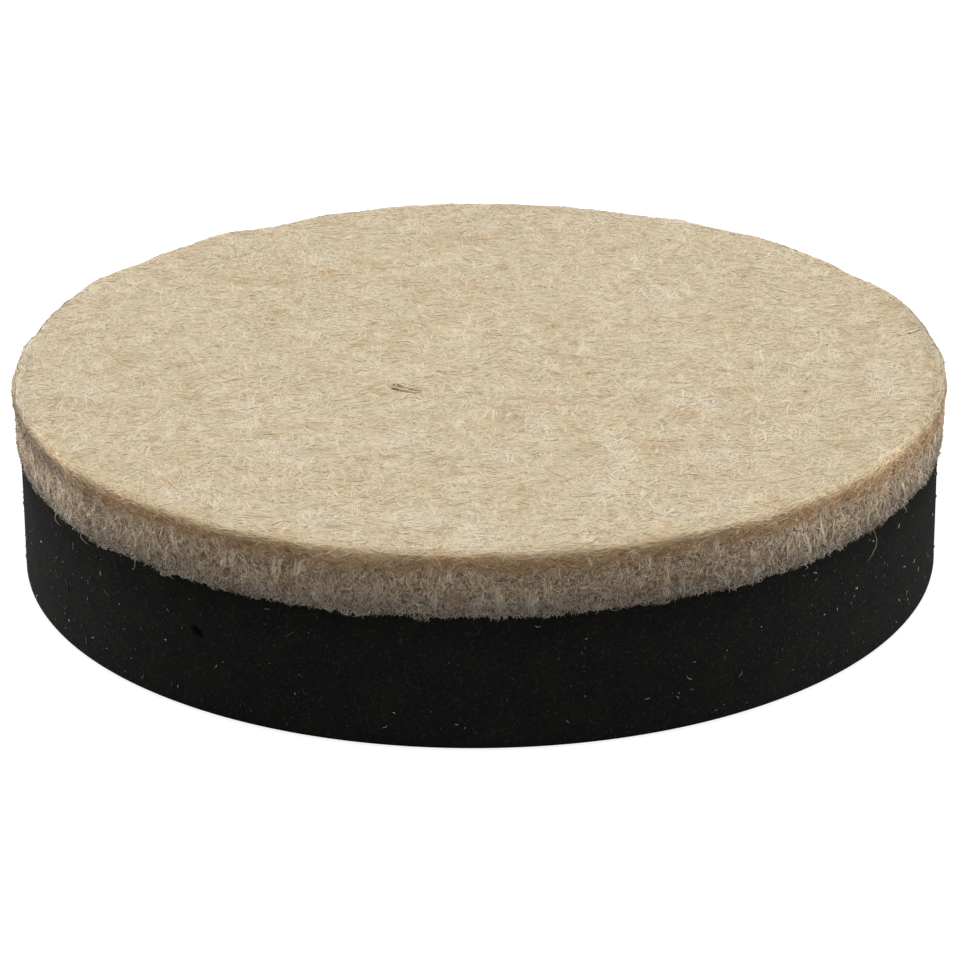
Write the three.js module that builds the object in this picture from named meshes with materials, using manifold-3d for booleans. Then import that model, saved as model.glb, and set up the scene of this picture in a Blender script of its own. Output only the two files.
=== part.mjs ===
// A round furniture pad: a die-cut disc of needled felt bonded on a disc of black rubber.
// Millimetres, +Z up. The origin is the centre of the rubber's underside, and the felt faces up.

import * as THREE from "three";
import { mergeVertices } from "three/addons/utils/BufferGeometryUtils.js";
import Module from "manifold-3d";

const wasm = await Module();
wasm.setup();

const DEGREES = Math.PI / 180;

// The rubber disc.
const RUBBER_DIAMETER = 50;
const RUBBER_THICKNESS = 7.5;
const RUBBER_EDGE_RADIUS = 0.3;

// A gas pit left open in the rubber's cut wall, an oval that leans down to the right.
const PIT_WIDTH = 0.85;
const PIT_TALL = 0.5;
const PIT_DEPTH = 0.6;
const PIT_ABOVE_BASE = 4.55;
const PIT_ANGLE = -125.3 * DEGREES;
const PIT_LEAN = -32 * DEGREES;

// The felt disc. Its dense upper skin stands proud of the softer core, which the blade drags in.
const FELT_THICKNESS = 3.5;
const FELT_OVERHANG = 0.32;
const FELT_SKIN = 1.4;
const FELT_SKIN_LIP = 0.14;
const FELT_UNDERCUT = 0.2;
const FELT_RIM_RADIUS = 0.5;
const FELT_LOWER_EDGE_RADIUS = 0.15;

// The felt's cut outline wanders in and out: lobes round the rim, each in millimetres.
const OUTLINE_LOBES = [
  { count: 3, size: 0.035, phase: 0.9 },
  { count: 7, size: 0.045, phase: 2.3 },
  { count: 11, size: 0.035, phase: 4.4 },
  { count: 17, size: 0.03, phase: 1.2 },
  { count: 26, size: 0.02, phase: 5.1 },
];

// The worn round of the felt's upper rim swells and shrinks: lobes, each a share of its radius.
const RIM_LOBES = [
  { count: 5, size: 0.12, phase: 3.7 },
  { count: 13, size: 0.16, phase: 0.4 },
  { count: 21, size: 0.14, phase: 2.9 },
  { count: 29, size: 0.08, phase: 4.8 },
];

// Facets round each disc, and along each rounded edge.
const RUBBER_STEPS = 144;
const FELT_STEPS = 180;
const RUBBER_EDGE_STEPS = 3;
const FELT_RIM_STEPS = 4;
const FELT_LOWER_EDGE_STEPS = 2;
const PIT_DETAIL = 2;

// Points nearer than this are the same point.
const SAME_POINT = 0.001;

const rubberRadius = RUBBER_DIAMETER / 2;
const feltRadius = rubberRadius + FELT_OVERHANG;
const feltBottom = RUBBER_THICKNESS;
const feltTop = feltBottom + FELT_THICKNESS;

// Points of a quarter round from one angle to another, both in degrees.
function quarterRound(centreRadius, centreHeight, radius, from, to, steps) {
  return Array.from({ length: steps + 1 }, (_, i) => {
    const angle = (from + ((to - from) * i) / steps) * DEGREES;
    return new THREE.Vector2(
      centreRadius + radius * Math.cos(angle),
      centreHeight + radius * Math.sin(angle)
    );
  });
}

// A half section, from the axis at the bottom to the axis at the top, revolved round Z.
function revolved(section, steps) {
  return new THREE.LatheGeometry(section, steps).rotateX(Math.PI / 2);
}

function solidOf(geometry) {
  const bare = geometry.clone();
  bare.deleteAttribute("normal");
  bare.deleteAttribute("uv");
  const merged = mergeVertices(bare);
  const triVerts = merged.index
    ? new Uint32Array(merged.index.array)
    : Uint32Array.from({ length: merged.attributes.position.count }, (_, i) => i);
  return new wasm.Manifold(
    new wasm.Mesh({
      numProp: 3,
      vertProperties: merged.attributes.position.array,
      triVerts,
    })
  );
}

function geometryOf(solid) {
  const mesh = solid.getMesh();
  const geometry = new THREE.BufferGeometry();
  geometry.setAttribute("position", new THREE.BufferAttribute(mesh.vertProperties, 3));
  geometry.setIndex(new THREE.BufferAttribute(mesh.triVerts, 1));
  geometry.computeVertexNormals();
  return geometry;
}

// The sum of the lobes at an angle round the rim.
function lobed(lobes, angle) {
  return lobes.reduce((sum, { count, size, phase }) => sum + size * Math.sin(count * angle + phase), 0);
}

// The pit is an ellipsoid let into the wall at its own place and lean.
function pitGeometry() {
  return new THREE.IcosahedronGeometry(1, PIT_DETAIL)
    .scale(PIT_DEPTH, PIT_WIDTH / 2, PIT_TALL / 2)
    .rotateX(PIT_LEAN)
    .translate(rubberRadius, 0, PIT_ABOVE_BASE)
    .rotateZ(PIT_ANGLE);
}

function rubberGeometry() {
  const edge = RUBBER_EDGE_RADIUS;
  const inner = rubberRadius - edge;
  const disc = revolved(
    [
      new THREE.Vector2(0, 0),
      ...quarterRound(inner, edge, edge, -90, 0, RUBBER_EDGE_STEPS),
      ...quarterRound(inner, RUBBER_THICKNESS - edge, edge, 0, 90, RUBBER_EDGE_STEPS),
      new THREE.Vector2(0, RUBBER_THICKNESS),
    ],
    RUBBER_STEPS
  );
  return geometryOf(solidOf(disc).subtract(solidOf(pitGeometry())));
}

// The felt's section before its outline wanders: undercut core, skin lip and rounded rim.
function feltSection() {
  const edge = FELT_LOWER_EDGE_RADIUS;
  const edgeCentre = feltRadius - FELT_UNDERCUT - edge;
  const rim = FELT_RIM_RADIUS;
  return [
    new THREE.Vector2(0, feltBottom),
    ...quarterRound(edgeCentre, feltBottom + edge, edge, -90, 0, FELT_LOWER_EDGE_STEPS),
    new THREE.Vector2(feltRadius - FELT_SKIN_LIP, feltTop - FELT_SKIN),
    ...quarterRound(feltRadius - rim, feltTop - rim, rim, 0, 90, FELT_RIM_STEPS),
    new THREE.Vector2(0, feltTop),
  ];
}

// Each rim point is drawn towards the rim's sharp corner or away from it, so that the round
// swells and shrinks, and then the whole wall follows the outline in and out.
function feltGeometry() {
  const felt = revolved(feltSection(), FELT_STEPS);
  const position = felt.attributes.position;
  const rimStart = feltTop - FELT_RIM_RADIUS - SAME_POINT;
  for (let i = 0; i < position.count; i++) {
    const radius = Math.hypot(position.getX(i), position.getY(i));
    if (radius < SAME_POINT) continue;
    const angle = Math.atan2(position.getY(i), position.getX(i));
    const height = position.getZ(i);
    const swell = height > rimStart ? 1 + lobed(RIM_LOBES, angle) : 1;
    const reach = feltRadius - swell * (feltRadius - radius) + lobed(OUTLINE_LOBES, angle);
    position.setXYZ(
      i,
      reach * Math.cos(angle),
      reach * Math.sin(angle),
      feltTop - swell * (feltTop - height)
    );
  }
  felt.computeVertexNormals();
  return felt;
}

function rubberDisc() {
  const material = new THREE.MeshStandardMaterial({ color: 0x171716, roughness: 0.85, metalness: 0 });
  const mesh = new THREE.Mesh(rubberGeometry(), material);
  mesh.name = "rubber_disc";
  return mesh;
}

function feltDisc() {
  const material = new THREE.MeshStandardMaterial({ color: 0xcebda0, roughness: 1, metalness: 0 });
  const mesh = new THREE.Mesh(feltGeometry(), material);
  mesh.name = "felt_disc";
  return mesh;
}

const pad = new THREE.Group();
pad.name = "furniture_pad";
pad.add(rubberDisc(), feltDisc());

export default pad;
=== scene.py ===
"""A round furniture pad: a felt disc bonded on a black rubber disc, with its loose fibres and lint."""

import math

import bmesh
import bpy
import numpy as np
from bpy.props import FloatProperty, FloatVectorProperty, IntProperty, PointerProperty
from mathutils import Matrix, Vector, noise
from mathutils.bvhtree import BVHTree


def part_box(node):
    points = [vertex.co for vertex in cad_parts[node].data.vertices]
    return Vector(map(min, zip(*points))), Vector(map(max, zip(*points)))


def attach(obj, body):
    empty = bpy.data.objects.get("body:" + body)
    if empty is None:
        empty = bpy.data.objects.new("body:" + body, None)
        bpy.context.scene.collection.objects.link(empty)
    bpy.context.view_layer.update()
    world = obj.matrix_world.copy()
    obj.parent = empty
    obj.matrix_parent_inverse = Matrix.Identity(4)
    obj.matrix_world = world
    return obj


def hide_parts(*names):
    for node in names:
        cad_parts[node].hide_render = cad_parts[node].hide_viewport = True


bl_info = {
    "name": "Felt Furniture Pad",
    "version": (1, 0, 0),
    "blender": (4, 5, 0),
    "location": "View3D > Sidebar > Pad",
    "description": "Models a round furniture pad of felt bonded on rubber",
    "category": "Add Mesh",
}

MM = 0.001
TAU = 2 * math.pi

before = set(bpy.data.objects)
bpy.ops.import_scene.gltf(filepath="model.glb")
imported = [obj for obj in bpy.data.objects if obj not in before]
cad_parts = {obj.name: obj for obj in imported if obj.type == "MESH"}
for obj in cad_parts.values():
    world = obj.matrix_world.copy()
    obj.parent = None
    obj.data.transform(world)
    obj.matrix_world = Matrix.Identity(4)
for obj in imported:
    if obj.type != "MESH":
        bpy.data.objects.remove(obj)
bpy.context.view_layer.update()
FELT_LOW, FELT_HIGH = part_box("felt_disc")
RUBBER_LOW, RUBBER_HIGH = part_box("rubber_disc")
FELT_BOTTOM = FELT_LOW.z
FELT_TOP = FELT_HIGH.z
RUBBER_RADIUS = RUBBER_HIGH.x

# The map that patterns read.
MAP_NAME = "OFBake"


# Settings

def linear(red, green, blue):
    """A colour as seen on screen, 0 to 255, as the linear numbers that a shader takes."""
    screen = [value / 255 for value in (red, green, blue)]
    return tuple(v / 12.92 if v <= 0.04045 else ((v + 0.055) / 1.055) ** 2.4 for v in screen)


def length(name, description, millimetres):
    return FloatProperty(
        name=name, description=description, default=millimetres * MM, min=0, unit="LENGTH", precision=5
    )


def colour(name, description, red, green, blue):
    return FloatVectorProperty(
        name=name, description=description, default=linear(red, green, blue),
        size=3, min=0, max=1, subtype="COLOR",
    )


def count(name, description, number):
    return IntProperty(name=name, description=description, default=number, min=0)


def power(name, description, watts):
    return FloatProperty(name=name, description=description, default=watts, min=0, unit="POWER")


class PadFelt(bpy.types.PropertyGroup):
    cell: length("Cell", "Spacing of the felt's surface points", 0.215)
    undercut: length("Undercut", "How far the core's foot lies inside the outline", 0.20)
    skin_lip: length("Skin lip", "How far the core lies inside the outline below the dense skin", 0.14)
    skin: length("Skin", "Thickness of the dense upper skin", 1.4)
    lower_edge: length("Lower edge", "Round of the felt's lower edge", 0.15)
    wave_size: length("Wave size", "Width of the slow waves at the rim", 4.2)
    wave_height: length("Wave height", "Height of the slow waves at the rim", 0.34)
    lump_size: length("Lump size", "Width of the top's soft lumps", 1.7)
    lump_height: length("Lump height", "Height of the top's soft lumps", 0.09)
    nap_size: length("Nap size", "Width of the tufts in the surface", 0.42)
    nap_height: length("Nap height", "Height of the tufts in the surface", 0.05)
    tear_height: length("Tear height", "Roughness of the cut wall", 0.20)
    border: length("Border", "Width of the top's warmer border", 1.3)
    cream: colour("Cream", "Most of the felt's top", 212, 198, 171)
    tan: colour("Tan", "Warm patches on the top", 202, 175, 142)
    skin_edge: colour("Skin edge", "The dense skin where the blade cut it", 176, 142, 108)
    pale: colour("Pale", "Greyish pale patches on the top", 215, 205, 186)
    # Painted shade: the colour of the gaps between the top's fibres.
    shade: colour("Shade", "Gaps between the top's fibres", 185, 168, 140)
    core: colour("Core", "Most of the cut wall", 188, 168, 146)
    # Painted shade: the colour of the gaps between the wall's fibres.
    core_gap_shade: colour("Core gaps", "Gaps between the wall's fibres", 118, 101, 84)
    core_light: colour("Core light", "Pale fibres in the wall and at its lower edge", 222, 210, 193)


class PadFibres(bpy.types.PropertyGroup):
    thickness: length("Thickness", "Middle thickness of a fibre", 0.036)
    top_loose: count("Top fibres", "Single fibres on the felt's top", 45000)
    # The dabs are painted shade: dark ribbons for the gaps between the top's fibres.
    top_shade_dabs: count("Top dabs", "Small dark gaps between the top's fibres", 5200)
    top_wisps: count("Top wisps", "Wisps of like fibres on the felt's top", 900)
    wall_loose: count("Wall fibres", "Single fibres in the cut wall", 25500)
    wall_wisps: count("Wall wisps", "Upright pale wisps in the cut wall", 280)
    rim: count("Rim fibres", "Fibres that bind the top's rim", 11000)
    fringe: count("Fringe fibres", "Short fibres that fray the lower edge", 17000)


class PadRubber(bpy.types.PropertyGroup):
    edge: length("Edge", "Round of the rubber's edges", 0.3)
    wave_size: length("Wave size", "Width of the cut wall's slow waves", 5.0)
    wave_height: length("Wave height", "Height of the cut wall's slow waves", 0.04)
    black: colour("Black", "The rubber", 28, 28, 28)
    brown: colour("Brown", "Dusty mottling in the rubber", 32, 31, 28)
    grain: colour("Grain", "Fine paler grains in the rubber", 47, 46, 43)
    lint: count("Lint", "Specks and short fibres on the rubber's wall", 620)
    lint_colour: colour("Lint colour", "Specks and short fibres on the rubber's wall", 150, 145, 134)


class PadStage(bpy.types.PropertyGroup):
    overhead: power("Overhead", "The wide light above", 1.74)
    right: power("Right", "The low light on the right", 1.52)
    left: power("Left", "The low light on the left", 2.3)
    front: power("Front", "The weak low light in front", 0.14)
    around: FloatProperty(name="Around", description="Light from all round", default=0.35, min=0)


SETTINGS = {
    "pad_felt": PadFelt,
    "pad_fibres": PadFibres,
    "pad_rubber": PadRubber,
    "pad_stage": PadStage,
}


# Shader maths

class Value:
    """A number that varies over a surface. Arithmetic on it adds Math nodes."""

    def __init__(self, nodes, socket):
        self.nodes = nodes
        self.socket = socket

    def maths(self, operation, *terms):
        made = self.nodes.node("ShaderNodeMath", {"operation": operation}, dict(enumerate(terms)))
        return Value(self.nodes, made.outputs[0])

    def __add__(self, other):
        return self.maths("ADD", self, other)

    __radd__ = __add__

    def __sub__(self, other):
        return self.maths("SUBTRACT", self, other)

    def __rsub__(self, other):
        return self.maths("SUBTRACT", other, self)

    def __mul__(self, other):
        return self.maths("MULTIPLY", self, other)

    __rmul__ = __mul__

    def largest(self, other):
        return self.maths("MAXIMUM", self, other)

    def root(self):
        return self.maths("SQRT", self)

    def rise(self, low, high):
        """0 below low and 1 above high, with a soft step between."""
        settings = {"interpolation_type": "SMOOTHSTEP"}
        sockets = {"Value": self, "From Min": low, "From Max": high}
        return Value(self.nodes, self.nodes.node("ShaderNodeMapRange", settings, sockets).outputs[0])


class Nodes:
    """The nodes of a material or of the world. node() adds every one that Blender doesn't."""

    def __init__(self, tree):
        self.tree = tree

    def node(self, kind, settings=None, sockets=None):
        """Adds a node, sets its settings or a ramp's stops, and then fills or links its sockets."""
        made = self.tree.nodes.new(kind)
        for name, value in (settings or {}).items():
            if name == "stops":
                ramp = made.color_ramp.elements
                while len(ramp) < len(value):
                    ramp.new(1.0)
                for stop, (position, shade) in zip(ramp, value):
                    stop.position = position
                    stop.color = (*shade, 1.0)
            else:
                setattr(made, name, value)
        for name, value in (sockets or {}).items():
            self.fill(made.inputs[name], value)
        return made

    def fill(self, socket, value):
        value = value.socket if isinstance(value, Value) else value
        if isinstance(value, bpy.types.NodeSocket):
            self.tree.links.new(value, socket)
        elif socket.type == "RGBA":
            socket.default_value = (*value, 1.0)
        else:
            socket.default_value = value

    def seen(self):
        """1 for what the camera, gloss and glass see, and 0 for other light."""
        rays = self.node("ShaderNodeLightPath").outputs
        found = Value(self, rays["Is Camera Ray"])
        for kind in ("Is Glossy Ray", "Is Transmission Ray"):
            found = found.largest(Value(self, rays[kind]))
        return found


class Finish(Nodes):
    """One material, with its Principled BSDF as its shader."""

    def __init__(self, name, roughness, specular):
        self.material = bpy.data.materials.new(name)
        self.material.use_nodes = True
        super().__init__(self.material.node_tree)
        self.shader = self.tree.nodes["Principled BSDF"]
        self.fill(self.shader.inputs["Roughness"], roughness)
        self.fill(self.shader.inputs["Specular IOR Level"], specular)

    def place(self):
        """Where a point lies on the object, in metres."""
        return self.node("ShaderNodeTexCoord").outputs["Object"]

    def map(self):
        return self.node("ShaderNodeUVMap", {"uv_map": MAP_NAME}).outputs[0]

    def part(self, vector, axis):
        return Value(self, self.node("ShaderNodeSeparateXYZ", None, {0: vector}).outputs[axis])

    def turned(self, vector, angle, scale):
        settings = {"vector_type": "TEXTURE"}
        sockets = {"Vector": vector, "Rotation": (0, 0, angle), "Scale": scale}
        return self.node("ShaderNodeMapping", settings, sockets).outputs[0]

    def noise(self, vector, size, detail=2.0, roughness=0.5):
        """Noise from 0 to 1 whose blotches are about this size, in the vector's own units."""
        sockets = {"Vector": vector, "Scale": 1 / size, "Detail": detail, "Roughness": roughness}
        return Value(self, self.node("ShaderNodeTexNoise", None, sockets).outputs[0])

    def mix(self, factor, first, second, blend="MIX"):
        settings = {"data_type": "RGBA", "blend_type": blend}
        return self.node("ShaderNodeMix", settings, {0: factor, 6: first, 7: second}).outputs[2]

    def times(self, first, second):
        """One colour multiplied by another."""
        return self.mix(1.0, first, second, "MULTIPLY")

    def ramp(self, factor, stops):
        return self.node("ShaderNodeValToRGB", {"stops": stops}, {0: factor}).outputs[0]

    def paint(self, colour_socket):
        self.fill(self.shader.inputs["Base Color"], colour_socket)

    def bump(self, height, depth, strength):
        sockets = {"Height": height, "Distance": depth, "Strength": strength}
        made = self.node("ShaderNodeBump", None, sockets)
        self.fill(self.shader.inputs["Normal"], made.outputs[0])


# Finishes

STROKE_TURNS = (0.15, 0.95, 1.75, 2.55)


def strokes(finish, place, width, stretch):
    """Short strokes that run several ways at once, like fibres pressed flat, from 0 to 1."""
    found = None
    for turn in STROKE_TURNS:
        laid = finish.turned(place, turn, (stretch, 1, 1))
        one = finish.noise(laid, width, detail=1.0)
        found = one if found is None else found.largest(one)
    return found.rise(0.45, 0.85)


# What a shade is multiplied by where a mask is 0 and where it is 1.
# Painted shade at a fibre's ends.
END_SHADE_TINTS = [(0.0, (0.95, 0.94, 0.92)), (1.0, (1, 1, 1))]
BORDER_TINTS = [(0.0, (1, 1, 1)), (1.0, (0.93, 0.90, 0.845))]
# Painted shade on the skin at the felt's left and right sides.
SIDE_SHADE_TINTS = [(0.0, (1, 1, 1)), (1.0, (0.82, 0.86, 0.92))]
# More painted shade on the upper wall at the felt's left end.
LEFT_SHADE_TINTS = [(0.0, (1, 1, 1)), (1.0, (0.58, 0.61, 0.68))]
# Painted shade in the pits between the felt's fibres.
GAP_SHADE_TINTS = [(0.0, (1, 1, 1)), (1.0, (0.83, 0.80, 0.72))]

# Up the wall, from its foot to its top: darker and greyer towards the foot, partly a greyer tone and partly
# painted shade.
HEIGHT_TONE_AND_SHADE_TINTS = [
    (0.00, (0.60, 0.65, 0.71)),
    (0.16, (0.69, 0.74, 0.80)),
    (0.34, (0.93, 0.95, 0.97)),
    (0.60, (1.01, 1.01, 1.00)),
    (0.80, (1.05, 1.05, 1.05)),
    (0.93, (0.97, 0.97, 0.97)),
]


def toned_with_painted_shade(finish, shade):
    """A felt shade: warm at its border, with painted shade dark in its pits, grey at its sides and partly
    at its foot.
    """
    felt = bpy.context.scene.pad_felt
    place = finish.place()
    x, y, height = (finish.part(place, axis) for axis in range(3))
    wander = (finish.noise(place, 1.6 * MM) - 0.5) * (1.6 * MM)
    border = ((x * x + y * y).root() + wander).rise(FELT_HIGH.x - felt.border, FELT_HIGH.x - 0.1 * MM)
    share = (height - FELT_BOTTOM) * (1 / (FELT_TOP - FELT_BOTTOM))
    skin = border * share.rise(0.66, 0.84)
    # Painted shade: the skin greyed and darkened at the left and right sides.
    side_shade = (x * x).rise((0.86 * FELT_HIGH.x) ** 2, (0.96 * FELT_HIGH.x) ** 2)
    # Painted shade on the left end's upper wall, below the rim.
    left = (x * -1).rise(0.72 * FELT_HIGH.x, 0.90 * FELT_HIGH.x) * (1 - share.rise(0.88, 0.97))
    # Painted shade: dark spots in the pits between the fibres.
    gap_shade = finish.noise(place, 0.62 * MM, detail=1.5).rise(0.59, 0.76)
    shade = finish.times(shade, finish.ramp(gap_shade, GAP_SHADE_TINTS))
    shade = finish.times(shade, finish.ramp(border, BORDER_TINTS))
    shade = finish.times(shade, finish.ramp(skin * side_shade, SIDE_SHADE_TINTS))
    shade = finish.times(shade, finish.ramp(border * share.rise(0.45, 0.70) * left, LEFT_SHADE_TINTS))
    # Darker and greyer towards the foot: partly a greyer tone, partly painted shade.
    return finish.times(shade, finish.ramp(share, HEIGHT_TONE_AND_SHADE_TINTS))


def felt_finish(felt):
    finish = Finish("pressed felt", roughness=0.95, specular=0.1)
    place = finish.place()
    height = finish.part(place, 2)
    grain = finish.noise(place, 0.14 * MM)
    wander = finish.noise(place, 0.9 * MM) - 0.5
    fibres = strokes(finish, place, 0.16 * MM, 6.0)

    # Painted shade in the gaps between the flattened fibres, cream on the fibres.
    top = finish.mix(fibres, felt.shade, felt.cream)
    top = finish.mix(finish.noise(place, 2.4 * MM).rise(0.54, 0.74) * 0.55, top, felt.tan)
    top = finish.mix(finish.noise(place, 3.3 * MM).rise(0.52, 0.72) * 0.5, top, felt.pale)

    upright = finish.turned(place, 0.0, (1, 1, 1.6))
    tufts = finish.noise(upright, 0.12 * MM, detail=3.0, roughness=0.65)
    # Painted shade in the gaps between the wall's tufts.
    core = finish.mix(tufts.rise(0.36, 0.60), felt.core_gap_shade, felt.core)
    core = finish.mix(tufts.rise(0.56, 0.72) * 0.8, core, felt.core_light)

    gaps = finish.mix(tufts.rise(0.40, 0.62), felt.core, felt.skin_edge)
    skin_edge = (height + wander * (1.3 * MM)).rise(FELT_TOP - 1.5 * MM, FELT_TOP - 0.5 * MM)
    wall = finish.mix(skin_edge * 0.75, core, gaps)
    over_rim = (height + wander * (0.5 * MM)).rise(FELT_TOP - 0.52 * MM, FELT_TOP - 0.05 * MM)
    finish.paint(toned_with_painted_shade(finish, finish.mix(over_rim, wall, top)))
    finish.bump(fibres * 0.4 + grain * 0.6, 0.04 * MM, 0.5)
    return finish.material


def fibre_finish(name, stops):
    """Each fibre's shade is its row on its map, and painted shade makes its ends a little darker than its
    middle.
    """
    finish = Finish(name, roughness=0.9, specular=0.1)
    spot = finish.map()
    along = finish.part(spot, 0)
    row = finish.part(spot, 1)
    middle = along.rise(0.0, 0.35) * (1 - along.rise(0.65, 1.0))
    shade = finish.times(finish.ramp(row, stops), finish.ramp(middle, END_SHADE_TINTS))
    finish.paint(toned_with_painted_shade(finish, shade))
    return finish.material


# Fibre shades, by row.
# Rows below about 0.15 give the dabs' painted shade, and some of the brown and rust spots.
TOP_STOPS = [
    (0.00, linear(160, 142, 110)),
    (0.12, linear(189, 171, 139)),
    (0.24, linear(206, 180, 147)),
    (0.38, linear(211, 194, 164)),
    (0.58, linear(216, 201, 173)),
    (0.76, linear(223, 209, 183)),
    (0.90, linear(218, 206, 185)),
    (1.00, linear(224, 214, 197)),
]

RIM_STOPS = [
    (0.00, linear(147, 114, 84)),
    (0.30, linear(184, 150, 113)),
    (0.60, linear(208, 187, 154)),
    (1.00, linear(234, 221, 196)),
]

CORE_STOPS = [
    (0.00, linear(96, 81, 66)),
    (0.20, linear(150, 131, 111)),
    (0.45, linear(193, 173, 150)),
    (0.70, linear(216, 199, 177)),
    (1.00, linear(236, 225, 208)),
]

# Up the rubber's wall: painted shade just under the felt, darker near it.
UNDER_FELT_SHADE_TINTS = [(0.70, (1, 1, 1)), (0.93, (0.82, 0.82, 0.80))]


def rubber_finish(rubber):
    finish = Finish("cut black rubber", roughness=0.8, specular=0.002)
    place = finish.place()
    cells = finish.noise(place, 0.13 * MM, detail=3.0, roughness=0.6)
    mottle = finish.noise(place, 1.6 * MM, detail=3.0)
    dusty = (mottle + cells * 0.5).rise(0.62, 1.0)
    grains = finish.noise(place, 0.15 * MM).rise(0.52, 0.76)
    dull = finish.mix(dusty, rubber.black, rubber.brown)
    shade = finish.mix(grains, dull, rubber.grain)
    share = finish.part(place, 2) * (1 / RUBBER_HIGH.z)
    # Painted shade just under the felt's overhang.
    finish.paint(finish.times(shade, finish.ramp(share, UNDER_FELT_SHADE_TINTS)))
    finish.fill(finish.shader.inputs["Roughness"], 0.70 + cells * 0.3)
    finish.bump(cells, 0.03 * MM, 0.7)
    return finish.material


def lint_finish(rubber):
    finish = Finish("lint", roughness=0.9, specular=0.2)
    row = finish.part(finish.map(), 1)
    stops = []
    for position, strength in ((0.0, 0.10), (0.5, 0.28), (0.8, 0.8), (1.0, 1.5)):
        stops.append((position, tuple(strength * value for value in rubber.lint_colour)))
    finish.paint(finish.ramp(row, stops))
    return finish.material


# Modelling

def deselect():
    bpy.ops.object.select_all(action="DESELECT")


def read(items, name, width=1, kind=float):
    """One property of a mesh's points, corners or faces, with a row for each."""
    found = np.empty(len(items) * width, kind)
    items.foreach_get(name, found)
    return found.reshape(-1, width) if width > 1 else found


def write(items, name, values, kind=np.float32):
    items.foreach_set(name, np.asarray(values, kind).ravel())


def places_of(piece):
    return read(piece.data.vertices, "co", 3)


def move_to(piece, places):
    write(piece.data.vertices, "co", places)
    piece.data.update()


def make_current(piece):
    deselect()
    piece.select_set(True)
    bpy.context.view_layer.objects.active = piece


def select_edges(piece, wanted):
    """In edit mode, selects the edges for which wanted(first place, second place) is true."""
    bpy.ops.mesh.select_mode(type="EDGE")
    bpy.ops.mesh.select_all(action="DESELECT")
    shape = bmesh.from_edit_mesh(piece.data)
    for edge in shape.edges:
        edge.select_set(wanted(*(vertex.co for vertex in edge.verts)))
    bmesh.update_edit_mesh(piece.data)


def turn_outwards():
    """In edit mode, points every face outwards, and goes back to object mode."""
    bpy.ops.mesh.select_all(action="SELECT")
    bpy.ops.mesh.normals_make_consistent(inside=False)
    bpy.ops.object.mode_set(mode="OBJECT")


def apply_modifier(piece, kind, **settings):
    make_current(piece)
    modifier = piece.modifiers.new(kind.title(), kind)
    for name, value in settings.items():
        setattr(modifier, name, value)
    bpy.ops.object.modifier_apply(modifier=modifier.name)


def cloud(name, size, depth=2):
    texture = bpy.data.textures.new(name, "CLOUDS")
    texture.noise_scale = size
    texture.noise_depth = depth
    return texture


def ruffle(piece, texture, height, group):
    """Moves the group's points in and out along their normals, by half the height each way."""
    apply_modifier(
        piece, "DISPLACE", texture=texture, texture_coords="LOCAL", direction="NORMAL",
        strength=height, mid_level=0.5, vertex_group=group,
    )


def group_of(piece, name, weights):
    """A vertex group of the piece with these weights, to the nearest tenth."""
    group = piece.vertex_groups.new(name=name)
    tenths = np.rint(10 * np.asarray(weights, float)).astype(int)
    for tenth in range(1, 11):
        group.add(np.flatnonzero(tenths == tenth).tolist(), tenth / 10, "REPLACE")
    return name


def dress(piece, material):
    piece.data.materials.clear()
    piece.data.materials.append(material)
    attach(piece, "root")


# The felt body

RIM_RINGS = 5
WALL_RINGS = 13
EDGE_RINGS = 3

# The slow waves start at this share of the radius, grow over this share, and reach this many rings
# below the rim.
WAVY_FROM = 0.80
WAVY_OVER = 0.18
WAVY_RINGS = 4


def felt_outline():
    """By angle round the felt's solid: the radius of its outline, and of the level part of its top."""
    x, y, z = places_of(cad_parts["felt_disc"]).T
    radius = np.hypot(x, y)
    on_rim = radius > 0.9 * radius.max()
    x, y, z, radius = (values[on_rim] for values in (x, y, z, radius))
    turn = np.mod(np.arctan2(y, x), TAU)
    level = z > FELT_TOP - 0.001 * MM
    steps = len(np.unique(np.round(turn[level], 3)))
    sector = np.rint(turn / TAU * steps).astype(int) % steps
    outline = np.zeros(steps)
    np.maximum.at(outline, sector, radius)
    flat = np.zeros(steps)
    np.maximum.at(flat, sector[level], radius[level])
    return np.arange(steps) * TAU / steps, outline, flat


def round_grid(name, cells, rings):
    """A square grid pressed out to a unit circle, its edge drawn down one unit a ring and closed."""
    deselect()
    bpy.ops.mesh.primitive_grid_add(x_subdivisions=cells, y_subdivisions=cells, size=2)
    disc = bpy.context.object
    disc.name = disc.data.name = name
    x, y, z = places_of(disc).T
    move_to(disc, np.stack([x * np.sqrt(1 - y * y / 2), y * np.sqrt(1 - x * x / 2), z], 1))
    bpy.ops.object.mode_set(mode="EDIT")
    bpy.ops.mesh.select_mode(type="EDGE")
    bpy.ops.mesh.select_all(action="DESELECT")
    bpy.ops.mesh.select_non_manifold()
    for _ in range(rings):
        bpy.ops.mesh.extrude_edges_move(TRANSFORM_OT_translate={"value": (0, 0, -1)})
    bpy.ops.mesh.edge_face_add()
    turn_outwards()
    return disc


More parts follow.
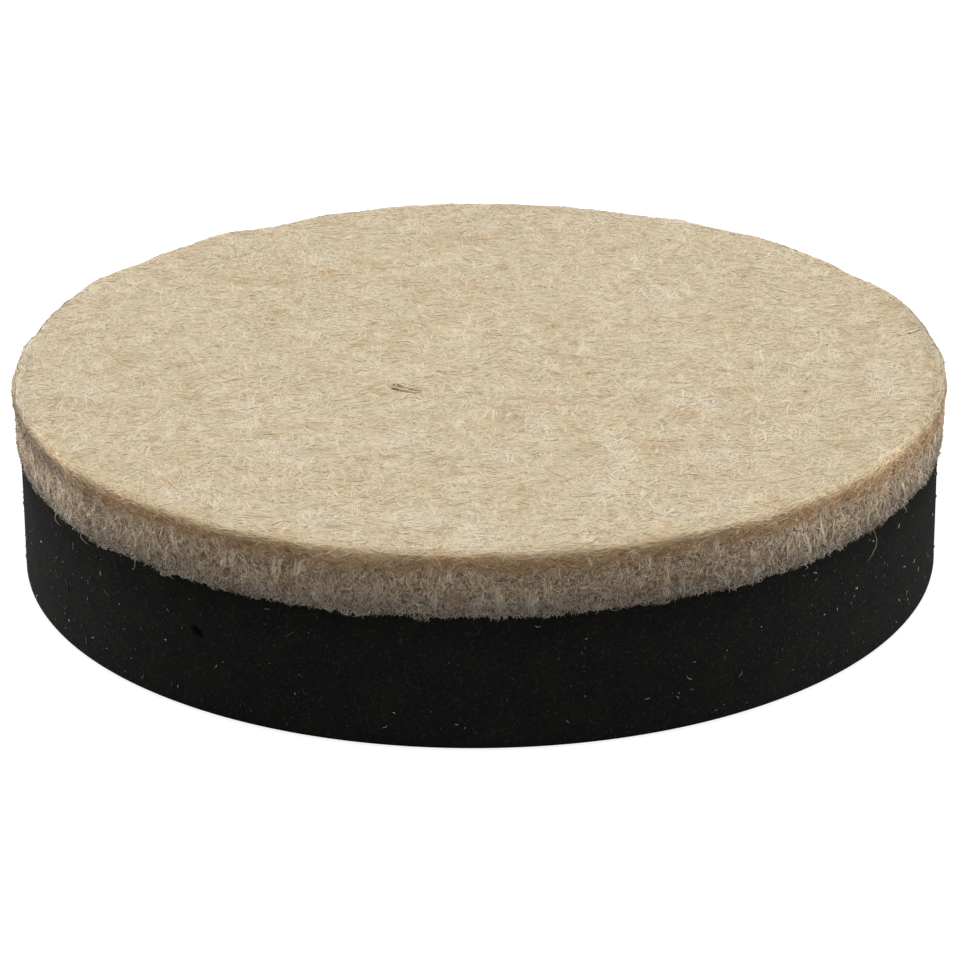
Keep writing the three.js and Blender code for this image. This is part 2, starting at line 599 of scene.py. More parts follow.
def felt_section(felt, ring, outline, flat):
    """Radius and height of the rim, wall or lower edge on each ring below the level top."""
    rim = outline - flat
    over = np.clip(ring / RIM_RINGS, 0, 1) * math.pi / 2
    radius = flat + rim * np.sin(over)
    height = FELT_TOP - rim * (1 - np.cos(over))

    wall_low = FELT_BOTTOM + felt.lower_edge
    down = np.clip((ring - RIM_RINGS) / WALL_RINGS, 0, 1)
    wall_height = (FELT_TOP - rim) * (1 - down) + wall_low * down
    skin_foot = FELT_TOP - felt.skin
    below_skin = np.clip((skin_foot - wall_height) / (skin_foot - wall_low), 0, 1)
    in_skin = np.clip((FELT_TOP - rim - wall_height) / (FELT_TOP - rim - skin_foot), 0, 1)
    drawn_in = felt.skin_lip * in_skin + (felt.undercut - felt.skin_lip) * below_skin
    on_wall = ring > RIM_RINGS
    radius = np.where(on_wall, outline - drawn_in, radius)
    height = np.where(on_wall, wall_height, height)

    under = np.clip((ring - RIM_RINGS - WALL_RINGS) / EDGE_RINGS, 0, 1) * math.pi / 2
    radius = radius - felt.lower_edge * (1 - np.cos(under))
    height = height - felt.lower_edge * np.sin(under)
    return radius, height


def shape_felt(body, felt):
    x, y, z = places_of(body).T
    turn, reach, ring = np.mod(np.arctan2(y, x), TAU), np.hypot(x, y), np.rint(-z)
    turns, outlines, flats = felt_outline()
    outline = np.interp(turn, turns, outlines, period=TAU)
    flat = np.interp(turn, turns, flats, period=TAU)
    radius, height = felt_section(felt, ring, outline, flat)
    radius = np.where(ring == 0, reach * flat, radius)
    move_to(body, round_places(turn, radius, height))
    return ring


# Where each disc's map lays its top, its underside and its wall, which is cut into lengths: the
# left, the low and the width of each, and the room for one length's height.
WALL_LENGTHS = 3
FELT_MAP = ((0.01, 0.22, 0.77), (0.80, 0.22, 0.18), (0.01, 0.01, 0.85), 4.6 * MM)
RUBBER_MAP = ((0.02, 0.52, 0.44), (0.52, 0.52, 0.44), (0.01, 0.01, 0.96), 8.6 * MM)

# A face whose normal rises by more than this counts as level.
LEVEL = 0.75


def map_disc(piece, top, under, wall, wall_height):
    """Lays out a map of a disc: its two faces seen square on, and its wall unrolled in lengths."""
    mesh = piece.data
    face = np.repeat(np.arange(len(mesh.polygons)), read(mesh.polygons, "loop_total", kind=np.int32))
    x, y, z = places_of(piece)[read(mesh.loops, "vertex_index", kind=np.int32)].T
    centre = read(mesh.polygons, "center", 3)[face]
    upward = read(mesh.polygons, "normal", 3)[face, 2]
    radius = np.hypot(*places_of(piece).T[:2]).max()
    faces_up = (upward > LEVEL) & (np.hypot(*centre.T[:2]) < 0.985 * radius)
    faces_down = (upward < -LEVEL) & (centre[:, 2] < z.min() + 0.4 * MM)

    spots = np.empty((len(face), 2))
    for chosen, (left, low, width) in ((faces_up, top), (faces_down, under)):
        spots[chosen, 0] = left + width * (0.5 + x[chosen] / (2 * radius))
        spots[chosen, 1] = low + width * (0.5 + y[chosen] / (2 * radius))
    left, low, width = wall
    around = np.mod(np.arctan2(centre[:, 1], centre[:, 0]), TAU)
    strip = np.minimum((around / TAU * WALL_LENGTHS).astype(int), WALL_LENGTHS - 1)
    off = np.mod(np.arctan2(y, x) - around + math.pi, TAU) - math.pi
    run = (around + off) * WALL_LENGTHS / TAU - strip
    scale = width / (TAU * radius / WALL_LENGTHS)
    bulge = z - z.min() + (radius - np.hypot(x, y))
    on_wall = ~(faces_up | faces_down)
    spots[on_wall, 0] = (left + width * run)[on_wall]
    spots[on_wall, 1] = (low + scale * (strip * wall_height + bulge))[on_wall]
    write(mesh.uv_layers.new(name=MAP_NAME).data, "uv", spots)


class PAD_OT_felt_body(bpy.types.Operator):
    """Models the felt disc: its lumpy top, worn rim, torn wall and flat underside"""

    bl_idname = "pad.felt_body"
    bl_label = "Felt Body"

    def execute(self, context):
        felt = context.scene.pad_felt
        cells = round(2 * FELT_HIGH.x / felt.cell)
        body = round_grid("felt_body", cells, RIM_RINGS + WALL_RINGS + EDGE_RINGS)
        ring = shape_felt(body, felt)
        loose = group_of(body, "loose", ring < RIM_RINGS + WALL_RINGS)
        cut = group_of(body, "cut", (ring > RIM_RINGS) & (ring < RIM_RINGS + WALL_RINGS))
        reach = np.hypot(*places_of(body).T[:2]) / FELT_HIGH.x
        wavy = np.clip((reach - WAVY_FROM) / WAVY_OVER, 0.1, 1)
        rim = group_of(body, "rim", np.where(ring <= RIM_RINGS + WAVY_RINGS, wavy, 0))
        ruffle(body, cloud("waves", felt.wave_size, depth=1), felt.wave_height, rim)
        ruffle(body, cloud("lumps", felt.lump_size), felt.lump_height, loose)
        ruffle(body, cloud("nap", felt.nap_size), felt.nap_height, loose)
        ruffle(body, cloud("tears", felt.nap_size), felt.tear_height, cut)
        map_disc(body, *FELT_MAP)
        make_current(body)
        bpy.ops.object.shade_smooth()
        dress(body, felt_finish(felt))
        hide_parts("felt_disc")
        return {"FINISHED"}


# Fibres

SEGMENTS = 3
SIDES = 3

# The points along a fibre, from -1 to 1, and the height of its row on its map.
ALONG_FIBRE = np.linspace(-1, 1, SEGMENTS + 1)
ROW = 0.003

# How a fibre thins towards its ends: places from 0 to 1 along it, and its share of its width there.
TAPER = ((0, 0.3, 0.7, 1), (0.55, 1, 1, 0.45))


def flat_fibre(segments):
    """A ribbon one unit long and wide, upright and facing +Y, for a fibre pressed flat."""
    bpy.ops.mesh.primitive_grid_add(
        x_subdivisions=1, y_subdivisions=segments, size=1, location=(0, 0, 0), rotation=(-math.pi / 2, 0, 0)
    )
    bpy.ops.object.transform_apply(rotation=True)
    return bpy.context.object


def round_fibre(segments):
    """An upright rod of a few sides, one unit long and wide, for a fibre that stands free."""
    bpy.ops.mesh.primitive_cylinder_add(
        vertices=SIDES, radius=0.5, depth=1, end_fill_type="NGON", location=(0, 0, 0)
    )
    rod = bpy.context.object
    bpy.ops.object.mode_set(mode="EDIT")
    select_edges(rod, lambda first, second: abs(first.z - second.z) > 0.5)
    bpy.ops.mesh.subdivide(number_cuts=segments - 1)
    bpy.ops.object.mode_set(mode="OBJECT")
    return rod


class Strand:
    """One fibre, modelled once: its points, faces and the place of each corner on its map."""

    def __init__(self, segments, model=flat_fibre):
        deselect()
        fibre = model(segments)
        places = places_of(fibre)
        self.rings = segments + 1
        self.across = places[:, :2]
        self.ring = np.rint((places[:, 2] + 0.5) * segments).astype(int)
        self.faces = [tuple(polygon.vertices) for polygon in fibre.data.polygons]
        bpy.data.objects.remove(fibre)
        self.corners = np.array([corner for face in self.faces for corner in face])
        side = np.mod(np.rint(np.arctan2(*self.across.T[::-1]) / TAU * SIDES), SIDES)[self.corners]
        along = self.ring[self.corners] / segments
        cap = np.repeat([len(face) == SIDES for face in self.faces], [len(face) for face in self.faces])
        along = np.where(cap & (side == 1), along * 0.94 + 0.03, along)
        self.map = np.stack([0.02 + 0.96 * along, side / SIDES * ROW], 1)

    def copies(self, name, paths, outwards, widths, rows):
        """A mesh of this strand laid along each path. A row from 0 to 1 is the fibre's shade."""
        along = np.gradient(paths, axis=1)
        along /= np.linalg.norm(along, axis=2, keepdims=True) + 1e-12
        side = np.cross(outwards, along)
        side /= np.linalg.norm(side, axis=2, keepdims=True) + 1e-12
        outwards = np.cross(along, side)
        taper = np.interp(np.linspace(0, 1, self.rings), *TAPER)
        thick = widths[:, None, None] * taper[self.ring][None, :, None]
        sideways = self.across[None, :, :1] * side[:, self.ring]
        upwards = self.across[None, :, 1:] * outwards[:, self.ring]
        points = paths[:, self.ring] + thick * (sideways + upwards)
        number, per = points.shape[:2]
        shift = (np.arange(number) * per)[:, None]
        totals = np.tile([len(face) for face in self.faces], number)
        starts = np.concatenate([[0], np.cumsum(totals)[:-1]])
        mesh = bpy.data.meshes.new(name)
        mesh.vertices.add(number * per)
        write(mesh.vertices, "co", points)
        mesh.loops.add(number * len(self.corners))
        write(mesh.loops, "vertex_index", self.corners[None] + shift, np.int32)
        mesh.polygons.add(len(totals))
        write(mesh.polygons, "loop_start", starts, np.int32)
        mesh.update(calc_edges=True)
        mesh.shade_smooth()
        spots = np.tile(self.map, (number, 1))
        spots[:, 1] += np.repeat(0.01 + 0.975 * np.clip(rows, 0, 1), len(self.corners))
        write(mesh.uv_layers.new(name=MAP_NAME).data, "uv", spots)
        piece = bpy.data.objects.new(name, mesh)
        bpy.context.collection.objects.link(piece)
        return piece


def round_places(turn, radius, height):
    """Places at these angles round the pad's axis, each with its radius and height."""
    return np.stack([radius * np.cos(turn), radius * np.sin(turn), height * np.ones_like(turn)], -1)


def wall_directions(turn, heading):
    """Directions along and across fibres on a wall, their heading measured from level."""
    around = np.stack([-np.sin(turn), np.cos(turn), np.zeros(len(turn))], 1)
    up = np.array([[0.0, 0.0, 1.0]])
    level, rise = np.cos(heading)[:, None], np.sin(heading)[:, None]
    return level * around + rise * up, level * up - rise * around


def stands(rng, number, shape, size, lowest, highest, tuck):
    """In millimetres, how far fibres arch, and how far they stand off with their ends tucked in."""
    arch = rng.gamma(shape, size, number)[:, None] * (1 - ALONG_FIBRE * ALONG_FIBRE)[None]
    base = rng.uniform(lowest, highest, number)[:, None] - tuck * (ALONG_FIBRE * ALONG_FIBRE)[None]
    return arch, base


def surface_of(name):
    return BVHTree.FromObject(bpy.data.objects[name], bpy.context.evaluated_depsgraph_get())


def settle(surface, paths, lifts):
    """The paths laid on a surface and raised by their lifts, and the surface's normals there."""
    found = [surface.find_nearest(Vector(point))[:2] for point in paths.reshape(-1, 3)]
    places, normals = np.array(found).swapaxes(0, 1)
    laid = places + normals * lifts.reshape(-1, 1)
    return laid.reshape(paths.shape), normals.reshape(paths.shape)


def lengths_about(rng, middle, vary, number, shortest, longest):
    """Random lengths in metres, from a middle, shortest and longest one in millimetres."""
    return np.clip(rng.lognormal(math.log(middle), vary, number), shortest, longest) * MM


def arcs(rng, centres, along, across, lengths, bend):
    """Paths through the centres that run along one direction and bow a little to one side."""
    t = np.linspace(-0.5, 0.5, SEGMENTS + 1)[None, :, None]
    lengths = lengths[:, None, None]
    bow = rng.normal(0, bend, len(centres))[:, None, None] * (4 * t * t - 0.33)
    return centres[:, None] + lengths * (t * along[:, None] + bow * across[:, None])


def add_fibres(name, strand, paths, outwards, widths, rows, stops):
    """A piece of the felt's fibres, with a finish of its own name."""
    piece = strand.copies(name, paths, outwards, widths, rows)
    dress(piece, fibre_finish(name.replace("_", " "), stops))


def settle_fibres(rng, name, paths, rows, thickness, vary, stops):
    """Lays fibres on the felt's rim or wall, where they stand out a little."""
    arch, base = stands(rng, len(paths), shape=1.6, size=0.016, lowest=0.0, highest=0.03, tuck=0.04)
    paths, normals = settle(surface_of("felt_body"), paths, (arch + base) * MM)
    widths = thickness * rng.lognormal(0, vary, len(paths))
    add_fibres(name, Strand(SEGMENTS), paths, normals, widths, rows, stops)


def blotches(centres, size, offset):
    """Slow noise at each centre, from about -1 to 1."""
    shift = Vector((offset, 0.37 * offset, 0))
    return np.array([noise.noise(Vector(centre) / size + shift) for centre in centres])


def drawn(number, share=1):
    return round(number * 1 * share)


def spread(rng, centres, size, number):
    """Repeats each centre, its copies scattered round it."""
    return np.repeat(centres, number, axis=0) + rng.normal(0, size, (len(centres) * number, 3))


WISP_FIBRES = 14
WISP_WIDTH = 0.19 * MM
WISP_ROWS = (0.37, 0.46, 0.57, 0.63, 0.71)

# Brown and rust spots in the felt's top, each made of short fibres: where they lie and how wide
# they are, in millimetres, and the row of their shade.
SPOTS = (
    (-22.16, -5.26, 0.9, 0.20),
    (-15.36, -4.84, 0.5, 0.14),
    (1.45, -6.72, 0.8, 0.21),
    (2.23, -7.97, 0.4, 0.12),
    (8.65, -5.62, 0.5, 0.12),
    (4.16, 4.94, 0.35, 0.16),
    (1.35, 14.38, 0.4, 0.12),
)
SPOT_FIBRES = 70


class PAD_OT_top_fibres(bpy.types.Operator):
    """Lays single fibres and wisps of like fibres on the felt's top, in two halves"""

    bl_idname = "pad.top_fibres"
    bl_label = "Top Fibres"
    seeds = {"top_fibres_under": 11, "top_fibres_over": 12}

    def lay(self, context, name):
        fibres = context.scene.pad_fibres
        rng = np.random.default_rng(self.seeds[name])
        half = 1 / len(self.seeds)
        dabs = drawn(fibres.top_shade_dabs, half)
        loose, wisps = dabs + drawn(fibres.top_loose, half), drawn(fibres.top_wisps, half)

        def on_top(number):
            reach = FELT_HIGH.x * np.sqrt(rng.random(number))
            return round_places(TAU * rng.random(number), reach, FELT_TOP)

        wisp_centres = on_top(wisps)
        spots = np.repeat(np.array(SPOTS), SPOT_FIBRES, axis=0)
        spot_centres = np.stack([spots[:, 0] * MM, spots[:, 1] * MM, np.full(len(spots), FELT_TOP)], 1)
        spot_centres[:, :2] += rng.normal(0, 0.4 * MM, (len(spots), 2)) * spots[:, 2:3]
        bundled = spread(rng, wisp_centres, WISP_WIDTH, WISP_FIBRES)
        centres = np.concatenate([on_top(loose), bundled, spot_centres])
        number, spotted = len(centres), loose + len(bundled)
        heading = TAU * rng.random(number)
        wisp_headings = np.repeat(TAU * rng.random(wisps), WISP_FIBRES)
        heading[loose:spotted] = wisp_headings + rng.normal(0, 0.22, len(bundled))
        along = round_places(heading, 1, 0)
        across = np.cross((0, 0, 1), along)
        lengths = lengths_about(rng, 1.15, 0.42, number, 0.35, 2.8)
        lengths[:dabs] = lengths_about(rng, 0.34, 0.3, dabs, 0.15, 0.8)
        lengths[spotted:] *= 0.45
        widths = 1.25 * fibres.thickness * rng.lognormal(0, 0.22, number)
        widths[:dabs] *= 3.2
        paths = arcs(rng, centres, along, across, lengths, 0.09)

        rows = rng.normal(0.54, 0.045, number)
        tan = blotches(centres, 1.7 * MM, 3.1) > 0.22 + 0.30 * rng.random(number)
        pale = blotches(centres, 2.4 * MM, 9.7) > 0.26 + 0.30 * rng.random(number)
        rows = np.where(tan, rng.normal(0.29, 0.06, number), rows)
        rows = np.where(pale, rng.normal(0.84, 0.04, number), rows)
        # The dabs' dark rows are painted shade for the gaps between fibres.
        rows[:dabs] = 0.15 * rng.random(dabs)
        kinds = np.repeat(rng.choice(WISP_ROWS, wisps), WISP_FIBRES)
        rows[loose:spotted] = kinds + rng.normal(0, 0.05, len(bundled))
        rows[spotted:] = rng.normal(spots[:, 3], 0.06)

        arch, base = stands(rng, number, shape=2.0, size=0.007, lowest=0.004, highest=0.020, tuck=0.028)
        arch[:dabs] *= 0.2
        base[:dabs] *= 0.4
        paths, normals = settle(self.surface, paths, (arch + base) * MM)
        piece = self.strand.copies(name, paths, normals, widths, rows)
        dress(piece, self.finish)

    def execute(self, context):
        self.surface = surface_of("felt_body")
        self.strand = Strand(SEGMENTS)
        self.finish = fibre_finish("top fibres", TOP_STOPS)
        for name in self.seeds:
            self.lay(context, name)
        return {"FINISHED"}


WALL_WISP_FIBRES = 16
WALL_WISP_WIDTH = 0.10 * MM


class PAD_OT_wall_fibres(bpy.types.Operator):
    """Fills the felt's cut wall with short fibres and upright pale wisps"""

    bl_idname = "pad.wall_fibres"
    bl_label = "Wall Fibres"
    seed = 21

    def execute(self, context):
        fibres = context.scene.pad_fibres
        rng = np.random.default_rng(self.seed)
        loose, wisps = drawn(fibres.wall_loose), drawn(fibres.wall_wisps)
        turn = TAU * rng.random(loose + wisps)
        low, high = FELT_BOTTOM + 0.1 * MM, FELT_TOP - 0.55 * MM
        height = low + (high - low) * rng.random(loose + wisps)
        centres = round_places(turn, FELT_HIGH.x, height)
        bundled = spread(rng, centres[loose:], WALL_WISP_WIDTH, WALL_WISP_FIBRES)
        centres = np.concatenate([centres[:loose], bundled])
        number = len(centres)
        heading = np.pi * rng.random(number)
        upright = np.repeat(rng.normal(math.pi / 2, 0.28, wisps), WALL_WISP_FIBRES)
        heading[loose:] = upright + rng.normal(0, 0.18, number - loose)
        turn = np.arctan2(centres[:, 1], centres[:, 0])
        along, across = wall_directions(turn, heading)
        lengths = lengths_about(rng, 0.36, 0.45, number, 0.14, 1.1)
        lengths[loose:] *= np.repeat(rng.lognormal(math.log(1.9), 0.45, wisps), WALL_WISP_FIBRES)
        paths = arcs(rng, centres, along, across, lengths, 0.2)

        rows = rng.normal(0.38, 0.23, number)
        rows += 0.20 * blotches(centres, 0.8 * MM, 5.3)
        rows[loose:] = np.repeat(rng.normal(0.62, 0.13, wisps), WALL_WISP_FIBRES)
        rows[loose:] += rng.normal(0, 0.12, number - loose)

        settle_fibres(rng, "wall_fibres", paths, rows, 0.9 * fibres.thickness, 0.22, CORE_STOPS)
        return {"FINISHED"}


class PAD_OT_rim_fibres(bpy.types.Operator):
    """Binds the rim with fibres: bright ones over its round, and tan ones in the skin's cut edge"""

    bl_idname = "pad.rim_fibres"
    bl_label = "Rim Fibres"
    seed = 31

    def execute(self, context):
        fibres = context.scene.pad_fibres
        rng = np.random.default_rng(self.seed)
        number = drawn(fibres.rim)
        turn = TAU * rng.random(number)
        drop = 1.15 * rng.random(number) ** 1.4 - 0.05
        centres = round_places(turn, FELT_HIGH.x, FELT_TOP - drop * MM)
        heading = rng.normal(0, 0.5, number)
        along, across = wall_directions(turn, heading)
        lengths = lengths_about(rng, 1.0, 0.4, number, 0.3, 2.2)
        paths = arcs(rng, centres, along, across, lengths, 0.12)
        pale = np.clip(1 - rng.normal(drop, 0.14) / 0.55, 0, 1)
        rows = rng.normal(0.26 + 0.42 * pale, 0.15)
        settle_fibres(rng, "rim_fibres", paths, rows, fibres.thickness, 0.2, RIM_STOPS)
        return {"FINISHED"}


# Long stray fibres that hang over the rubber: their angle round the pad in degrees, and their
# reach down and lean in millimetres.
STRAYS = (
    (-151.0, 0.6, 0.15),
    (-144.5, 0.55, 0.3),
    (-134.0, 0.65, -0.45),
    (-36.0, 1.75, -0.45),
    (-28.5, 0.5, 0.2),
    (-49.5, 0.45, 0.3),
    (38.0, 0.9, 0.4),
    (97.0, 1.1, -0.3),
    (161.0, 0.7, 0.5),
)
STRAY_SEGMENTS = 5

# The felt's foot hangs lowest over the rubber near this angle.
LOWEST_TURN = math.radians(-70)


class PAD_OT_fringe_fibres(bpy.types.Operator):
    """Frays the felt's lower edge with short fibres that hang a little over the rubber"""

    bl_idname = "pad.fringe_fibres"
    bl_label = "Fringe Fibres"
    seed = 41

    def execute(self, context):
        fibres = context.scene.pad_fibres
        felt = context.scene.pad_felt
        rng = np.random.default_rng(self.seed)
        number = drawn(fibres.fringe)
        turns, outlines, _ = felt_outline()
        turn = TAU * rng.random(number)
        centres = round_places(turn, FELT_HIGH.x, FELT_BOTTOM)
        hang = 0.01 + 0.08 * np.cos(turn - LOWEST_TURN)
        hang += 0.27 * blotches(centres, 1.5 * MM, 2.3) + 0.24 * blotches(centres, 0.45 * MM, 6.1)
        hang = np.clip(hang, 0.02, 0.5)
        centres[:, 2] = FELT_BOTTOM + 0.35 * MM - (0.35 + hang) * MM * rng.random(number) ** 0.8
        heading = rng.normal(-math.pi / 2, 1.1, number)
        along, across = wall_directions(turn, heading)
        lengths = lengths_about(rng, 0.24, 0.4, number, 0.10, 0.7)
        paths = arcs(rng, centres, along, across, lengths, 0.3)
        bearing = np.arctan2(paths[..., 1], paths[..., 0])
        foot = np.interp(bearing, turns, outlines, period=TAU) - felt.undercut
        lift = rng.gamma(1.8, 0.03, number)[:, None] * (1.2 - ALONG_FIBRE * ALONG_FIBRE)[None] * MM
        radius = np.maximum(foot - 0.05 * MM, RUBBER_RADIUS + 0.01 * MM) + lift
        paths = round_places(bearing, radius, paths[..., 2])
        outwards = round_places(bearing, 1, 0)
        rows = rng.normal(0.48, 0.30, number) + 0.3 * blotches(centres, 0.7 * MM, 7.9)
        widths = 0.7 * fibres.thickness * rng.lognormal(0, 0.22, number)
        add_fibres("fringe_fibres", Strand(SEGMENTS), paths, outwards, widths, rows, CORE_STOPS)
        return {"FINISHED"}


class PAD_OT_stray_fibres(bpy.types.Operator):
    """Hangs the few long curled fibres that stray over the rubber"""

    bl_idname = "pad.stray_fibres"
    bl_label = "Stray Fibres"
    seed = 45

    def execute(self, context):
        rng = np.random.default_rng(self.seed)
        turn, reach, lean = np.array(STRAYS).T[:, :, None]
        t = np.linspace(0, 1, STRAY_SEGMENTS + 1)[None]
        curl = 0.12 * np.sin(5 * t + TAU * rng.random(len(STRAYS))[:, None])
        bearing = np.radians(turn) + (lean * t * t + curl) * MM / RUBBER_RADIUS
        radius = RUBBER_RADIUS + (0.12 + 0.25 * np.sin(math.pi * t)) * MM
        height = FELT_BOTTOM + (0.15 - (reach + 0.15) * t) * MM
        paths = round_places(bearing, radius, height)
        outwards = round_places(bearing, 1, 0)
        widths = np.full(len(STRAYS), context.scene.pad_fibres.thickness)
        rows = np.full(len(STRAYS), 0.8)
        strand = Strand(STRAY_SEGMENTS, round_fibre)
        add_fibres("stray_fibres", strand, paths, outwards, widths, rows, CORE_STOPS)
        return {"FINISHED"}


# The dark fibres matted in the top: points they pass, in millimetres.
TANGLE = ((-4.9, -3.2), (-4.3, -3.7), (-3.6, -4.15), (-2.8, -4.4))
TANGLE_FIBRES = 18
TANGLE_SCATTER = np.array((0.18, 0.22, 0.10)) * MM


class PAD_OT_dark_tangle(bpy.types.Operator):
    """Lays the small tangle of dark fibres that is matted in the felt's top"""

    bl_idname = "pad.dark_tangle"
    bl_label = "Dark Tangle"
    seed = 51

    def execute(self, context):
        rng = np.random.default_rng(self.seed)
        course = np.array([(x * MM, y * MM, FELT_TOP) for x, y in TANGLE])
        start = rng.uniform(0, 0.6, (TANGLE_FIBRES, 1))
        steps = (start + np.linspace(0, 0.4, len(TANGLE))[None]) * (len(TANGLE) - 1)
        passed = [np.interp(steps, np.arange(len(TANGLE)), axis) for axis in course.T]
        paths = np.stack(passed, 2) + rng.normal(0, 1, (TANGLE_FIBRES, 1, 3)) * TANGLE_SCATTER
        paths = paths + rng.normal(0, 0.03 * MM, (TANGLE_FIBRES, len(TANGLE), 3))
        lifts = rng.normal(0.032, 0.01, (TANGLE_FIBRES, 1)) - np.array([[0.05, 0, 0, 0.05]])
        paths, normals = settle(surface_of("felt_body"), paths, lifts * MM)
        widths = np.full(TANGLE_FIBRES, 1.2 * context.scene.pad_fibres.thickness)
        fibre = Strand(len(TANGLE) - 1, round_fibre)
        piece = fibre.copies("dark_tangle", paths, normals, widths, rng.random(TANGLE_FIBRES))
        stops = [(0.0, linear(98, 84, 58)), (1.0, linear(190, 170, 138))]
        dress(piece, fibre_finish("dark fibres", stops))
        return {"FINISHED"}


# The rubber disc

RUBBER_STEPS = 360
RUBBER_ROWS = 14
RUBBER_EDGE_STEPS = 4
SMOOTH_BELOW = math.radians(40)

# The gas pit in the rubber's wall, as in its solid.
PIT_SIZE = Vector((1.2, 0.85, 0.5)) * MM
PIT_HEIGHT = 4.55 * MM
PIT_ANGLE = math.radians(-125.3)
PIT_LEAN = math.radians(-32)
PIT_DETAIL = 4


class PAD_OT_rubber_disc(bpy.types.Operator):
    """Models the rubber disc: its rounded edges, slowly waving cut wall and gas pit"""

    bl_idname = "pad.rubber_disc"
    bl_label = "Rubber Disc"

    def execute(self, context):
        rubber = context.scene.pad_rubber
        thickness = RUBBER_HIGH.z - RUBBER_LOW.z
        deselect()
        bpy.ops.mesh.primitive_cylinder_add(
            vertices=RUBBER_STEPS, radius=RUBBER_RADIUS, depth=thickness, end_fill_type="NGON",
            location=(0, 0, RUBBER_LOW.z + thickness / 2),
        )
        disc = bpy.context.object
        disc.name = disc.data.name = "rubber_body"
        bpy.ops.object.transform_apply(location=True, rotation=True, scale=True)
        bpy.ops.object.mode_set(mode="EDIT")
        select_edges(disc, lambda first, second: abs(first.z - second.z) < 0.1 * MM)
        bpy.ops.mesh.bevel(
            offset=rubber.edge, offset_type="OFFSET", segments=RUBBER_EDGE_STEPS, affect="EDGES"
        )
        select_edges(disc, lambda first, second: abs(first.z - second.z) > thickness / 2)
        bpy.ops.mesh.subdivide(number_cuts=RUBBER_ROWS)
        turn_outwards()

        x, y, z = places_of(disc).T
        off_edges = np.abs(z - thickness / 2) < thickness / 2 - 0.5 * MM
        wall = group_of(disc, "wall", off_edges & (np.hypot(x, y) > RUBBER_RADIUS - 0.01 * MM))
        ruffle(disc, cloud("waves", rubber.wave_size), rubber.wave_height, wall)
        self.cut_pit(disc)
        map_disc(disc, *RUBBER_MAP)
        make_current(disc)
        bpy.ops.object.shade_smooth_by_angle(angle=SMOOTH_BELOW)
        dress(disc, rubber_finish(rubber))
        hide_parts("rubber_disc")
        return {"FINISHED"}

    def cut_pit(self, disc):
        deselect()
        bpy.ops.mesh.primitive_ico_sphere_add(subdivisions=PIT_DETAIL, radius=0.5, location=(0, 0, 0))
        pit = bpy.context.object
        pit.data.transform(
            Matrix.Rotation(PIT_ANGLE, 4, "Z")
            @ Matrix.Translation((RUBBER_RADIUS, 0, PIT_HEIGHT))
            @ Matrix.Rotation(PIT_LEAN, 4, "X")
            @ Matrix.Diagonal((*PIT_SIZE, 1))
        )
        apply_modifier(disc, "BOOLEAN", operation="DIFFERENCE", solver="EXACT", object=pit)
        bpy.data.objects.remove(pit)


# Angles round the pad near which more lint clings, and one part in how many clings there.
DUSTY_TURNS = np.radians([-35, -152])
DUSTY_PART = 5

# The lowest lint and the height over which it lies, in millimetres.
LINT_FOOT = 0.5
LINT_SPAN = 6.4


class PAD_OT_lint(bpy.types.Operator):
    """Dusts the rubber's wall with specks and short fibres"""

    bl_idname = "pad.lint"
    bl_label = "Lint"
    seed = 61

    def execute(self, context):
        rubber = context.scene.pad_rubber
        rng = np.random.default_rng(self.seed)
        number = rubber.lint
        turn = TAU * rng.random(number)
        clustered = number // DUSTY_PART
        turn[:clustered] = rng.choice(DUSTY_TURNS, clustered) + rng.normal(0, 0.2, clustered)
        height = RUBBER_LOW.z + (LINT_FOOT + LINT_SPAN * rng.random(number)) * MM
        centres = round_places(turn, RUBBER_RADIUS, height)
        heading = np.pi * rng.random(number)
        along, across = wall_directions(turn, heading)
        lengths = lengths_about(rng, 0.12, 0.65, number, 0.05, 0.9)
        paths = arcs(rng, centres, along, across, lengths, 0.18)
        lifts = 0.012 + 0.02 * rng.random(number)[:, None] * (1 - ALONG_FIBRE * ALONG_FIBRE)[None]
        paths, normals = settle(surface_of("rubber_body"), paths, lifts * MM)
        widths = np.clip(0.05 * rng.lognormal(0, 0.3, number), 0.025, 0.1) * MM
        rows = rng.random(number) ** 1.3
        piece = Strand(SEGMENTS, round_fibre).copies("rubber_lint", paths, normals, widths, rows)
        dress(piece, lint_finish(rubber))
        return {"FINISHED"}


# The stage

CAMERA_PLACE = Vector((0.0, -227.52, 102.60)) * MM
CAMERA_AIM = Vector((0.02, 0.0, 3.98)) * MM
CAMERA_ROLL = math.radians(-0.454)
CAMERA_LENS = 169.0
CAMERA_SENSOR = 36.0
CAMERA_NEAR = 10 * MM
FLOOR_SIZE = 4.0
FLOOR_DEPTH = 0.01 * MM
FLOOR_SHADE = 0.32
FLOOR_GLOW = 0.85

# Each light's name, place and size. The setting of that name holds its power.
LIGHTS = (
    ("overhead", (0.0, 0.07, 0.36), (0.44, 0.44)),
    ("right", (0.36, 0.12, 0.010), (0.20, 0.018)),
    ("left", (-0.31, 0.21, 0.010), (0.20, 0.018)),
    ("front", (0.0, -0.36, 0.05), (0.30, 0.05)),
)


